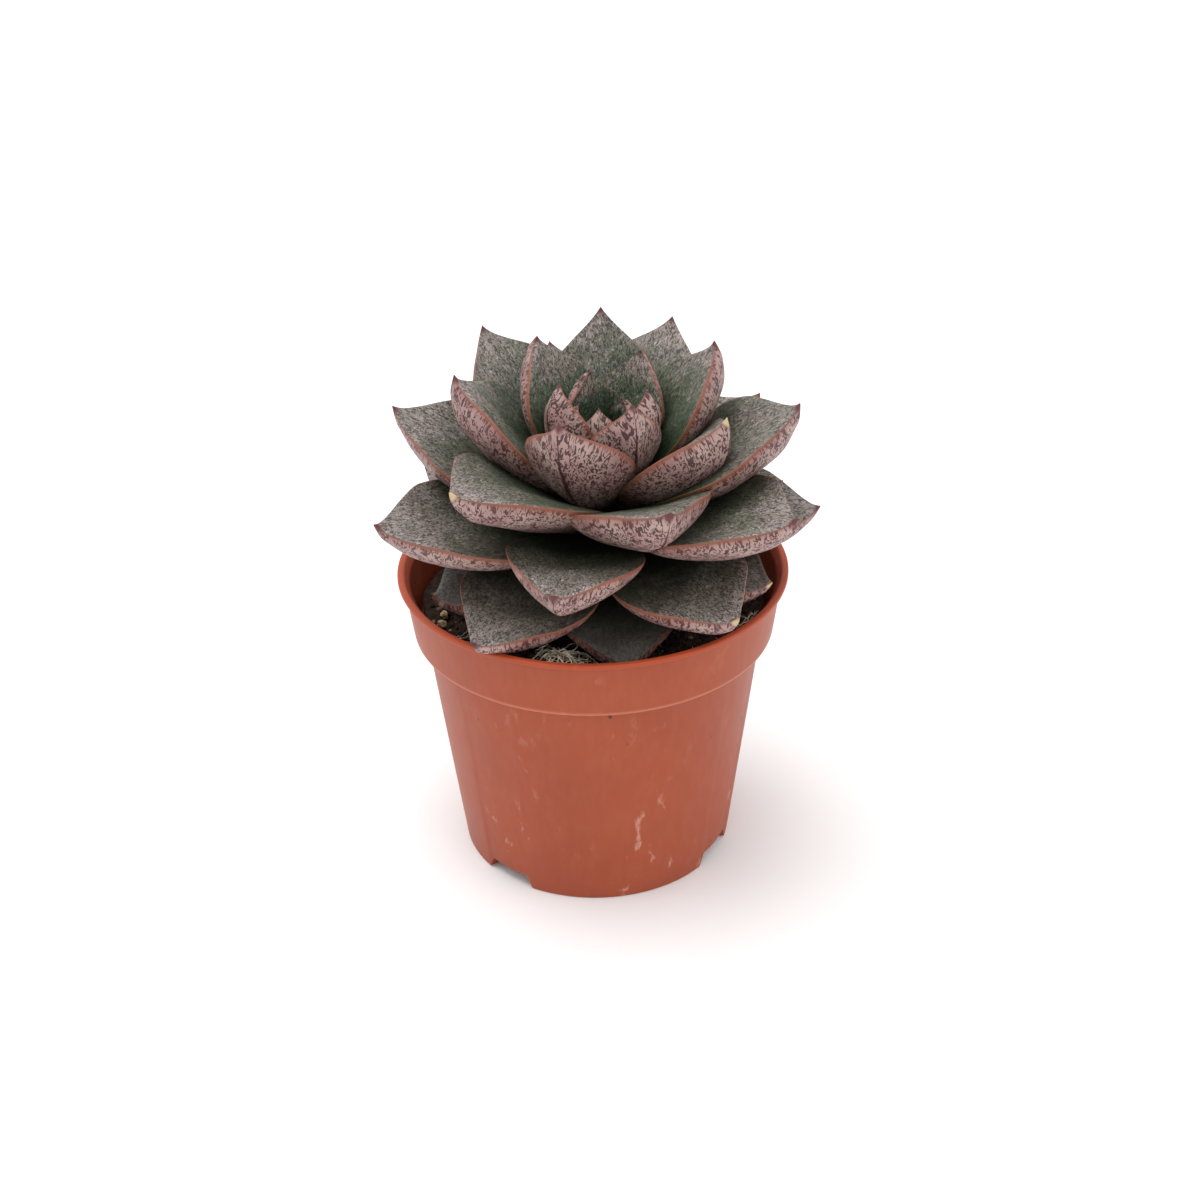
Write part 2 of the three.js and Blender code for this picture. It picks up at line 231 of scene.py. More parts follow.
# ---- materials ----
class Paint:
    """A node material, built by chaining small calls. Every call gives back a socket."""

    def __init__(self, name, **uniform):
        self.material = bpy.data.materials.new(name)
        self.material.use_nodes = True
        self.tree = self.material.node_tree
        self.shader = self.tree.nodes["Principled BSDF"]
        for socket, value in uniform.items():
            self.shader.inputs[socket.replace("_", " ")].default_value = value

    def put(self, socket, value):
        if isinstance(value, bpy.types.NodeSocket):
            self.tree.links.new(value, socket)
        else:
            socket.default_value = value

    def node(self, kind, inputs, output=0, **settings):
        node = self.tree.nodes.new(kind)
        for key, value in settings.items():
            setattr(node, key, value)
        for key, value in inputs.items():
            self.put(node.inputs[key], value)
        return node.outputs[output]

    def attribute(self, name):
        return self.node("ShaderNodeAttribute", {}, output="Fac", attribute_name=name)

    def vector_attribute(self, name):
        return self.node("ShaderNodeAttribute", {}, output="Vector", attribute_name=name)

    def place(self):
        return self.node("ShaderNodeTexCoord", {}, output="Object")

    def stretch(self, vector, scale):
        return self.node("ShaderNodeMapping", {"Vector": vector, "Scale": scale})

    def math(self, operation, a, b=0.0, clamp=False):
        return self.node("ShaderNodeMath", {0: a, 1: b}, operation=operation, use_clamp=clamp)

    def noise(self, vector, scale, detail=3.0, roughness=0.55, distortion=0.0):
        inputs = {"Vector": vector, "Scale": scale, "Detail": detail, "Roughness": roughness,
                  "Distortion": distortion}
        return self.node("ShaderNodeTexNoise", inputs)

    def speckle(self, vector, scale):
        return self.node("ShaderNodeTexVoronoi", {"Vector": vector, "Scale": scale}, output="Distance")

    def between(self, value, low, high, to_low=0.0, to_high=1.0):
        inputs = {"Value": value, "From Min": low, "From Max": high, "To Min": to_low, "To Max": to_high}
        return self.node("ShaderNodeMapRange", inputs, interpolation_type="SMOOTHSTEP")

    def mix(self, share, a, b, blend="MIX"):
        node = self.tree.nodes.new("ShaderNodeMix")
        node.data_type = "RGBA"
        node.blend_type = blend
        self.put(node.inputs[0], share)
        self.put(node.inputs[6], a)
        self.put(node.inputs[7], b)
        return node.outputs[2]

    def finish(self, colour, roughness=None, height=None, depth=0.1 * MM, strength=1.0):
        self.put(self.shader.inputs["Base Color"], colour)
        if roughness is not None:
            self.put(self.shader.inputs["Roughness"], roughness)
        if height is not None:
            bump = {"Height": height, "Distance": depth, "Strength": strength}
            self.put(self.shader.inputs["Normal"], self.node("ShaderNodeBump", bump))
        return self.material


def leaf_material():
    """Waxy leaf skin. The mesh says where each point lies: across, along, upper face, millimetres."""
    paint = Paint("leaf_skin", Specular_IOR_Level=0.42)
    skin = paint.vector_attribute("leaf_mm")
    across = paint.math("ABSOLUTE", paint.attribute("across"))
    along_leaf = paint.attribute("along")
    upper = paint.between(paint.attribute("upper"), 0.35, 0.65)
    youth = paint.attribute("youth")
    patches = paint.noise(skin, 0.22, 3.0)
    streaked = paint.stretch(skin, (1.0, 0.5, 1.0))
    short_dashes = paint.stretch(skin, (1.0, 0.62, 1.0))

    # Upper face: deep green at the base, grey-green in the middle, pale bloom towards the tip.
    green = paint.mix(youth, srgb(44, 46, 32), srgb(38, 74, 40))
    middle = paint.mix(youth, srgb(106, 98, 88), srgb(64, 90, 62))
    tip_grey = paint.mix(youth, srgb(140, 130, 126), srgb(138, 122, 114))
    travel = paint.math("ADD", along_leaf, paint.between(patches, 0.3, 0.7, -0.1, 0.1))
    upper_colour = paint.mix(paint.between(travel, 0.3, 0.72), green, middle)
    upper_colour = paint.mix(paint.between(travel, 0.62, 0.98), upper_colour, tip_grey)
    squiggle = paint.noise(streaked, 3.1, 2.5, 0.55, 1.2)
    dark_share = paint.between(squiggle, 0.44, 0.58, 0.0, 0.85)
    upper_colour = paint.mix(dark_share, upper_colour, srgb(38, 34, 31))
    light_share = paint.between(paint.noise(streaked, 3.6, 2.5, 0.6, 0.9), 0.54, 0.70, 0.0, 0.5)
    bloom = paint.math("MULTIPLY", light_share, paint.between(travel, 0.35, 0.8))
    upper_colour = paint.mix(bloom, upper_colour, srgb(196, 188, 184))

    # Lower face: mauve with dark maroon flecks and a dark line along the keel.
    mauve = paint.mix(paint.between(patches, 0.3, 0.7), srgb(160, 124, 122), srgb(176, 150, 142))
    olive = paint.mix(youth, srgb(70, 54, 40), srgb(104, 92, 66))
    lower_colour = paint.mix(paint.between(travel, 0.12, 0.42), olive, mauve)
    flecks = paint.noise(short_dashes, 2.5, 2.0, 0.5, 1.4)
    fleck_share = paint.between(flecks, 0.50, 0.55, 0.0, 0.9)
    lower_colour = paint.mix(fleck_share, lower_colour, srgb(58, 26, 30))
    keel_wobble = paint.math("MULTIPLY", paint.math("SUBTRACT", patches, 0.5), 0.10)
    keel = paint.math("ABSOLUTE", paint.math("ADD", paint.attribute("across"), keel_wobble))
    keel_line = paint.math("MULTIPLY", paint.between(keel, 0.01, 0.07, 0.95, 0.0),
                           paint.between(travel, 0.35, 0.6))
    off_side = paint.math("ABSOLUTE", paint.math("SUBTRACT", keel, 0.56))
    side_line = paint.between(off_side, 0.0, 0.025, 0.75, 0.0)
    side_line = paint.math("MULTIPLY", side_line, paint.between(paint.noise(skin, 0.16, 1.0), 0.56, 0.62))
    lower_colour = paint.mix(paint.math("MAXIMUM", keel_line, side_line), lower_colour, srgb(58, 20, 26))
    colour = paint.mix(upper, lower_colour, upper_colour)

    # Margin: copper red, turning olive yellow near the base; then the dark red tip.
    margin_colour = paint.mix(paint.between(along_leaf, 0.25, 0.7), srgb(110, 96, 46), srgb(138, 76, 56))
    margin_colour = paint.mix(paint.between(along_leaf, 0.8, 0.97), margin_colour, srgb(120, 84, 76))
    edge = paint.between(across, 0.975, 0.996)
    colour = paint.mix(paint.math("MULTIPLY", edge, 0.8), colour, margin_colour)
    rusty = paint.math("MULTIPLY", paint.between(across, 0.86, 0.98, 0.0, 0.3),
                       paint.math("SUBTRACT", 1.0, upper, clamp=True))
    colour = paint.mix(rusty, colour, srgb(122, 66, 46))
    colour = paint.mix(paint.between(along_leaf, 0.955, 0.985), colour, srgb(92, 44, 44))
    dried = paint.math("MULTIPLY", paint.attribute("dried"), paint.between(along_leaf, 0.965, 0.98))
    colour = paint.mix(dried, colour, srgb(196, 170, 134))

    # The oldest leaves are a dull slate green, and leaf bases lie in each other's shade.
    old = paint.between(youth, 0.0, 0.2, 0.75, 0.0)
    colour = paint.mix(paint.math("MULTIPLY", old, upper), colour, srgb(54, 56, 50))
    base_shade = paint.between(youth, 0.5, 0.8, 0.7, 0.35)
    fading = paint.math("MULTIPLY", paint.between(along_leaf, 0.1, 0.5), base_shade)
    shaded = paint.math("SUBTRACT", base_shade, fading)
    colour = paint.mix(shaded, colour, srgb(26, 26, 17))

    roughness = paint.between(squiggle, 0.3, 0.7, 0.44, 0.6)
    fine = paint.math("ADD", paint.noise(skin, 3.2, 4.0), paint.math("MULTIPLY", flecks, 0.6))
    return paint.finish(colour, roughness, fine, 0.07 * MM, 0.6)


def pot_material():
    paint = Paint("terracotta_plastic", Specular_IOR_Level=0.28)
    place = paint.place()
    low = paint.noise(place, 55, 3.0)
    grain = paint.noise(paint.stretch(place, (1, 1, 0.35)), 900, 3.0)
    colour = paint.mix(paint.between(low, 0.3, 0.7), srgb(150, 66, 38), srgb(158, 73, 44))
    colour = paint.mix(paint.between(grain, 0.35, 0.75, 0.0, 0.14), colour, srgb(172, 100, 76))
    height = paint.node("ShaderNodeSeparateXYZ", {0: place}, output="Z")
    # Painted light: the lip and the rim's top are drawn brighter orange-red, as they face the light from
    # above.
    lip_light = paint.between(height, (POT_HEIGHT - 1.6) * MM, (POT_HEIGHT - 0.3) * MM)
    colour = paint.mix(paint.math("MULTIPLY", lip_light, 0.6), colour, srgb(170, 68, 34))
    # Painted highlight: a pale line along the band's lower edge, where light catches the step.
    step = paint.math("ABSOLUTE", paint.math("SUBTRACT", height, (BAND_BOTTOM + 0.25) * MM))
    colour = paint.mix(paint.between(step, 0.0, 0.45 * MM, 0.45, 0.0), colour, srgb(206, 134, 108))

    # Pale scuffs in short upright rubs, thicker on the lower third. The pale line along the band, above, is a
    # painted highlight.
    rub = paint.noise(paint.stretch(place, (1, 1, 0.45)), 420, 4.0, 0.62, 0.4)
    where = paint.noise(place, 120, 2.0)
    low_third = paint.between(height, 10 * MM, 22 * MM, 1.0, 0.25)
    scuff = paint.math("MULTIPLY", paint.between(rub, 0.58, 0.68), paint.between(where, 0.5, 0.6))
    colour = paint.mix(paint.math("MULTIPLY", paint.math("MULTIPLY", scuff, low_third), 0.5), colour,
                       srgb(222, 178, 160))
    speck = paint.between(paint.speckle(place, 330), 0.09, 0.15, 0.85, 0.0)
    speck = paint.math("MULTIPLY", speck, paint.between(paint.noise(place, 170, 2.0), 0.57, 0.6))
    colour = paint.mix(speck, colour, srgb(70, 40, 30))
    roughness = paint.between(paint.math("ADD", low, paint.math("MULTIPLY", scuff, 0.4)), 0.3, 0.9, 0.42, 0.6)
    return paint.finish(colour, roughness, grain, 0.02 * MM, 0.6)


def soil_material():
    paint = Paint("peat_soil", Specular_IOR_Level=0.25)
    place = paint.place()
    crumb = paint.noise(place, 900, 5.0, 0.65)
    colour = paint.mix(paint.between(crumb, 0.35, 0.7), srgb(22, 15, 11), srgb(66, 47, 35))
    fleck = paint.between(paint.speckle(place, 700), 0.06, 0.14, 0.8, 0.0)
    fleck = paint.math("MULTIPLY", fleck, paint.between(paint.noise(place, 300, 1.0), 0.54, 0.6))
    colour = paint.mix(fleck, colour, srgb(150, 122, 88))
    return paint.finish(colour, paint.between(crumb, 0.3, 0.7, 0.75, 0.98), crumb, 0.35 * MM)


def crumb_material():
    """Peat crumbs and bark chips, each shaded by the tint stored on it."""
    paint = Paint("soil_crumbs", Specular_IOR_Level=0.25)
    place = paint.place()
    fine = paint.noise(place, 1600, 4.0, 0.65)
    tint = paint.attribute("tint")
    colour = paint.mix(paint.between(tint, 0.0, 0.7), srgb(26, 17, 12), srgb(84, 60, 42))
    colour = paint.mix(paint.between(tint, 0.82, 0.9), colour, srgb(158, 134, 102))
    colour = paint.mix(paint.between(fine, 0.35, 0.7, 0.55, 0.0), colour, srgb(18, 12, 9))
    return paint.finish(colour, paint.between(fine, 0.3, 0.7, 0.78, 0.98), fine, 0.12 * MM)


def fibre_material():
    paint = Paint("root_fibres", Specular_IOR_Level=0.3)
    shade = paint.noise(paint.place(), 500, 3.0)
    colour = paint.mix(paint.between(shade, 0.35, 0.65), srgb(150, 130, 104), srgb(232, 224, 206))
    return paint.finish(colour, paint.between(shade, 0.3, 0.7, 0.7, 0.9), shade, 0.05 * MM)


def pumice_material():
    paint = Paint("pumice_grain", Specular_IOR_Level=0.3)
    place = paint.place()
    tone = paint.noise(place, 900, 4.0, 0.6)
    colour = paint.mix(paint.between(tone, 0.35, 0.7), srgb(150, 122, 88), srgb(220, 204, 172))
    # Painted shade: darker specks stand for the shade inside the pumice's pores.
    pore_shade = paint.between(paint.speckle(place, 2600), 0.1, 0.3, 0.6, 0.0)
    colour = paint.mix(pore_shade, colour, srgb(96, 74, 52))
    return paint.finish(colour, paint.between(tone, 0.3, 0.7, 0.82, 0.98), tone, 0.15 * MM)


def withered_material():
    paint = Paint("withered_leaf", Specular_IOR_Level=0.3)
    place = paint.place()
    tone = paint.noise(place, 420, 4.0, 0.6, 0.5)
    colour = paint.mix(paint.between(tone, 0.3, 0.7), srgb(52, 34, 24), srgb(124, 88, 62))
    return paint.finish(colour, paint.between(tone, 0.3, 0.7, 0.6, 0.85), tone, 0.2 * MM)


def stem_material():
    paint = Paint("stem_bark", Specular_IOR_Level=0.3)
    place = paint.place()
    tone = paint.noise(paint.stretch(place, (1, 1, 2.5)), 500, 4.0, 0.6)
    colour = paint.mix(paint.between(tone, 0.35, 0.7), srgb(62, 50, 34), srgb(112, 100, 68))
    return paint.finish(colour, paint.between(tone, 0.3, 0.7, 0.6, 0.85), tone, 0.25 * MM)


def floor_material():
    paint = Paint("studio_floor", Roughness=0.9, Specular_IOR_Level=0.1)
    tone = paint.noise(paint.place(), 6, 2.0)
    colour = paint.mix(paint.between(tone, 0.3, 0.7), (0.86, 0.86, 0.86, 1), (0.88, 0.88, 0.88, 1))
    return paint.finish(colour)


# ---- pot ----
def rounded(points, radius, steps=5):
    """A closed-in profile with its inner corners rounded by short curves."""
    out = [Vector(points[0])]
    for before, corner, after in zip(points, points[1:], points[2:]):
        before, corner, after = Vector(before), Vector(corner), Vector(after)
        reach = min(radius, (before - corner).length * 0.45, (after - corner).length * 0.45)
        start = corner + (before - corner).normalized() * reach
        end = corner + (after - corner).normalized() * reach
        for k in range(steps + 1):
            t = k / steps
            out.append(start * (1 - t) ** 2 + corner * 2 * t * (1 - t) + end * t * t)
    out.append(Vector(points[-1]))
    return out


def wall_inner(z):
    return FOOT_RADIUS + (BODY_TOP_RADIUS - FOOT_RADIUS) / BAND_BOTTOM * z - WALL


def notch_lift(angle):
    """How far the foot ring's underside is raised at this angle."""
    lift = 0.0
    for compass in NOTCH_COMPASS:
        off = math.degrees(angle) - compass
        away = abs((off + 180) % 360 - 180)
        distance = math.radians(away) * FOOT_RADIUS
        rise = (NOTCH_WIDTH / 2 - distance) / NOTCH_SLOPE
        lift = max(lift, NOTCH_HEIGHT * min(1.0, max(0.0, rise)))
    return lift


def build_pot(material):
    profile = rounded([
        (0, PLATE_UNDERSIDE),
        (FOOT_RADIUS - FOOT_WIDTH, PLATE_UNDERSIDE),
        (FOOT_RADIUS - FOOT_WIDTH, 0),
        (FOOT_RADIUS, 0),
        (BODY_TOP_RADIUS, BAND_BOTTOM),
        (BAND_BOTTOM_RADIUS, BAND_BOTTOM),
        (BAND_TOP_RADIUS, POT_HEIGHT - LIP_HEIGHT),
        (RIM_RADIUS, POT_HEIGHT - LIP_HEIGHT),
        (RIM_RADIUS, POT_HEIGHT),
        (RIM_INNER_RADIUS, POT_HEIGHT),
        (BAND_TOP_RADIUS - WALL, POT_HEIGHT - RIM_DEPTH),
        (BAND_BOTTOM_RADIUS - WALL, BAND_BOTTOM + WALL),
        (wall_inner(BAND_BOTTOM - WALL), BAND_BOTTOM - WALL),
        (wall_inner(PLATE_TOP), PLATE_TOP),
        (0, PLATE_TOP),
    ], EDGE_ROUNDING)
    columns = POT_COLUMNS
    points = []
    for p in profile[1:-1]:
        for j in range(columns):
            angle = TURN * j / columns
            z = p[1]
            if z < PLATE_UNDERSIDE and p[0] > FOOT_RADIUS - FOOT_WIDTH - 0.05:
                z = max(z, notch_lift(angle)) if z < NOTCH_HEIGHT else z
            points.append(AXIS + compass_point(math.degrees(angle), p[0], z))
    rows = len(profile) - 2
    faces = grid_faces(rows, columns)
    bottom, top = len(points), len(points) + 1
    points += [AXIS + Vector((0, 0, PLATE_UNDERSIDE)), AXIS + Vector((0, 0, PLATE_TOP))]
    last = (rows - 1) * columns
    for j in range(columns):
        k = (j + 1) % columns
        faces += [(bottom, k, j), (top, last + j, last + k)]
    pot = mesh_object("nursery_pot", points, faces, material)
    bpy.context.view_layer.objects.active = pot
    for compass in DRAIN_COMPASS:
        cut_hole(pot, AXIS + compass_point(compass, DRAIN_ORBIT, PLATE_TOP))
    auto_smooth(pot, SHARP_ANGLE)
    return add_piece(pot, "pot", "pot")


def cut_hole(obj, at):
    bpy.ops.mesh.primitive_cylinder_add(vertices=40, radius=DRAIN_RADIUS * MM, depth=4 * MM, location=at * MM)
    tool = bpy.context.object
    cut = obj.modifiers.new("drain_hole", "BOOLEAN")
    cut.operation = "DIFFERENCE"
    cut.object = tool
    bpy.context.view_layer.objects.active = obj
    bpy.ops.object.modifier_apply(modifier=cut.name)
    bpy.data.objects.remove(tool, do_unlink=True)


def auto_smooth(obj, degrees):
    """Smooth shading with sharp edges kept above the angle."""
    bm = bmesh.new()
    bm.from_mesh(obj.data)
    limit = math.radians(degrees)
    for edge in bm.edges:
        edge.smooth = len(edge.link_faces) != 2 or edge.calc_face_angle(0) < limit
    for face in bm.faces:
        face.smooth = True
    bm.to_mesh(obj.data)
    bm.free()


# ---- soil ----
def soil_height(x, y):
    """The CAD surface, in millimetres from the pot's axis."""
    peak = compass_point(MOUND_COMPASS, MOUND_RADIUS)
    far = math.hypot(x - peak.x, y - peak.y) / MOUND_SPREAD
    ripple = 0.35 * math.sin(0.55 * x + 1) * math.cos(0.48 * y)
    return SOIL_TOP + MOUND_HEIGHT * math.exp(-far * far) + ripple


def crumbly(x, y):
    """The surface with its lumps: fine crumbs on broad unevenness."""
    at = Vector((x, y, 0))
    lumps = 0.55 * noise.noise(at * 0.35) + 0.45 * abs(noise.noise(at * 0.9)) + 0.28 * noise.noise(at * 2.1)
    return soil_height(x, y) + lumps - 0.1


SOIL_EDGE = wall_inner(BAND_BOTTOM) + 1.0


def build_soil(material):
    columns = SOIL_COLUMNS
    radii = list(np.linspace(SOIL_EDGE, 1.0, SOIL_RINGS))
    below_band = BAND_BOTTOM - WALL
    rows = [(wall_inner(PLATE_TOP) - SOIL_GAP, PLATE_TOP + SOIL_GAP),
            (wall_inner(below_band) - SOIL_GAP, below_band),
            (wall_inner(BAND_BOTTOM) - SOIL_GAP, BAND_BOTTOM), (SOIL_EDGE - 0.2, BAND_BOTTOM + 1.2)]
    points = []
    for r, z in rows:
        points += [AXIS + compass_point(360 * j / columns, r, z) for j in range(columns)]
    for r in radii:
        for j in range(columns):
            p = compass_point(360 * j / columns, r)
            points.append(AXIS + Vector((p.x, p.y, crumbly(p.x, p.y))))
    count = len(rows) + len(radii)
    faces = grid_faces(count, columns)
    bottom, top = len(points), len(points) + 1
    points += [AXIS + Vector((0, 0, PLATE_TOP + SOIL_GAP)), AXIS + Vector((0, 0, crumbly(0, 0)))]
    last = (count - 1) * columns
    for j in range(columns):
        k = (j + 1) % columns
        faces += [(bottom, k, j), (top, last + j, last + k)]
    return add_piece(mesh_object("potting_soil", points, faces, material), "soil", "soil")


def rough_stone(points, faces, rng, at, size, flatten=0.8, detail=1):
    """Adds one irregular stone to the lists."""
    bm = bmesh.new()
    bmesh.ops.create_icosphere(bm, subdivisions=detail, radius=0.5)
    seed = Vector((rng.uniform(0, 90), rng.uniform(0, 90), rng.uniform(0, 90)))
    turn = Matrix.Rotation(rng.uniform(0, TURN), 3, "Z") @ Matrix.Rotation(rng.uniform(0, TURN), 3, "X")
    scale = Vector((rng.uniform(0.8, 1.2), rng.uniform(0.7, 1.0), rng.uniform(0.6, 0.9)))
    start = len(points)
    for v in bm.verts:
        bulge = 1 + 0.45 * noise.noise(v.co * 2.2 + seed) + 0.16 * noise.noise(v.co * 6 + seed)
        p = turn @ Vector((v.co.x * scale.x, v.co.y * scale.y, v.co.z * scale.z)) * bulge * size
        points.append(at + Vector((p.x, p.y, p.z * flatten)))
    faces += [tuple(start + v.index for v in f.verts) for f in bm.faces]
    added = len(bm.verts)
    bm.free()
    return added


def build_crumbs(material):
    rng = random.Random(11)
    points, faces, tints = [], [], []
    for _ in range(CRUMB_COUNT):
        radius = SOIL_EDGE * math.sqrt(rng.uniform(0.12, 0.93))
        p = compass_point(rng.uniform(0, 360), radius)
        size = rng.choice((0.35, 0.45, 0.6, 0.6, 0.8, 1.1))
        tint = rng.random()
        if tint > 0.85:
            size *= 0.8
        at = AXIS + Vector((p.x, p.y, crumbly(p.x, p.y) + size * 0.12))
        tints += [tint] * rough_stone(points, faces, rng, at, size)
    crumbs = mesh_object("soil_crumbs", points, faces, material, smooth_faces=False)
    set_attribute(crumbs, "tint", tints)
    return add_piece(crumbs, "soil")


def strand(points, faces, path, radius, sides=6):
    """Adds a thin tube along the path, tapered at both ends."""
    rings = len(path)
    start = len(points)
    for i, p in enumerate(path):
        ahead = path[min(i + 1, rings - 1)] - path[max(i - 1, 0)]
        side = ahead.cross(Vector((0, 0, 1))).normalized()
        lift = side.cross(ahead).normalized()
        r = radius * (0.35 + 0.65 * math.sin(math.pi * (i + 0.5) / rings))
        for j in range(sides):
            a = TURN * j / sides
            points.append(p + side * math.cos(a) * r + lift * math.sin(a) * r)
    faces += [tuple(start + n for n in f) for f in grid_faces(rings, sides)]
    faces.append(tuple(start + j for j in range(sides)))
    faces.append(tuple(start + (rings - 1) * sides + j for j in reversed(range(sides))))


# Where fibres lie: compass, distance from the axis, spread, how many.
FIBRE_BEDS = ((-16, 22.5, 5.5, 70), (-2, 23.0, 3.0, 14), (66, 23.0, 2.4, 12), (-62, 22.5, 3.0, 8),
              (30, 22.8, 3.0, 8), (150, 18.0, 8.0, 10))


def build_fibres(material):
    rng = random.Random(5)
    points, faces = [], []
    for compass, distance, spread, count in FIBRE_BEDS:
        centre = compass_point(compass, distance)
        for _ in range(count):
            x = centre.x + rng.gauss(0, spread * 0.5)
            y = centre.y + rng.gauss(0, spread * 0.3)
            heading = math.radians(compass) + rng.gauss(0, 0.6)
            bend = rng.gauss(0, 0.22)
            rise = rng.uniform(0.1, 0.9)
            path = []
            for k in range(14):
                if math.hypot(x, y) > SOIL_EDGE - 0.3:
                    break
                wave = 0.3 * math.sin(k * 1.1 + rise * 9)
                hump = rise * math.sin(math.pi * k / 13)
                path.append(AXIS + Vector((x, y, crumbly(x, y) + 0.15 + hump + 0.1 * wave)))
                x += 0.36 * math.cos(heading)
                y += 0.36 * math.sin(heading)
                heading += bend + 0.25 * wave
            if len(path) > 4:
                strand(points, faces, path, rng.uniform(0.05, 0.13))
    return add_piece(mesh_object("root_fibres", points, faces, material), "soil")


def build_pumice(material):
    rng = random.Random(3)
    for i in range(1, PUMICE_COUNT + 1):
        low, high = (Vector(v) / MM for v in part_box(f"pumice_{i}"))
        points, faces = [], []
        at = (low + high) / 2 - Vector((0, 0, PUMICE_SINK))
        rough_stone(points, faces, rng, at, (high - low).x * PUMICE_SWELL, 1.0, 4)
        grain = mesh_object(f"pumice_grain_{i}", points, faces, material)
        add_piece(grain, "pumice", f"pumice_{i}")


# ---- stem ----
def build_stem(material):
    columns, rows = 64, 60
    points = []
    for i in range(rows):
        z = STEM_FOOT + (STEM_TOP - STEM_FOOT) * i / (rows - 1)
        taper = along(((0, 0.05), (0.02, 0.8), (0.4, 1), (0.8, 0.85), (0.98, 0.5), (1, 0.05)), i / (rows - 1))
        for j in range(columns):
            a = 360 * j / columns
            scar = 0.14 * math.sin(z * 4.2 + math.radians(a) * 3)
            points.append(STEM_AXIS + compass_point(a, (STEM_RADIUS - 0.1 + scar) * taper, z))
    faces = grid_faces(rows, columns)
    faces.append(tuple(reversed(range(columns))))
    faces.append(tuple((rows - 1) * columns + j for j in range(columns)))
    return add_piece(mesh_object("plant_stem", points, faces, material), "stem", "stem")


# ---- leaves ----
def leaf_plan(i):
    stray = dict(turn=0, lift=0, long=0, wide=0, curl=0) | STRAY.get(i, {})
    compass = SPIRAL_START + SPIRAL_STEP * i + stray["turn"]
    width = along(WIDTH, i) + stray["wide"]
    turned = math.radians(compass)
    return dict(
        compass=compass, width=width, length=along(LENGTH, i) + stray["long"],
        rise=along(RISE, i) - LEAN * math.cos(turned) + stray["lift"],
        thickness=min(LEAF_THICKNESS, 0.3 * width + 0.4),
        curl=along(CURL, i) + stray["curl"], twist=along(TWIST, i) * math.sin(turned),
        cup=along(CUP, i), height=FIRST_NODE + NODE_STEP * i, start=LEAF_START_RADIUS,
        seed=i, youth=i / (LEAF_COUNT - 1), dried=float(i in DRIED_TIPS), wrinkle=0.10,
    )


def leaf_matrix(leaf):
    at = STEM_AXIS + compass_point(leaf["compass"], leaf["start"], leaf["height"])
    turn = Matrix.Rotation(math.pi + math.radians(leaf["compass"]), 4, "Z")
    return Matrix.Translation(at) @ turn @ Matrix.Rotation(math.radians(leaf["rise"]), 4, "X")


LEAF_ROWS = 90
LEAF_HALF = 22
TIP_START = 0.93
TIP_UPTURN = 0.0175        # of the leaf's length
SKIN_STEP = 37.0           # keeps each leaf's mottling its own
FACE_STEP = 9.0            # and the upper face's apart from the lower's


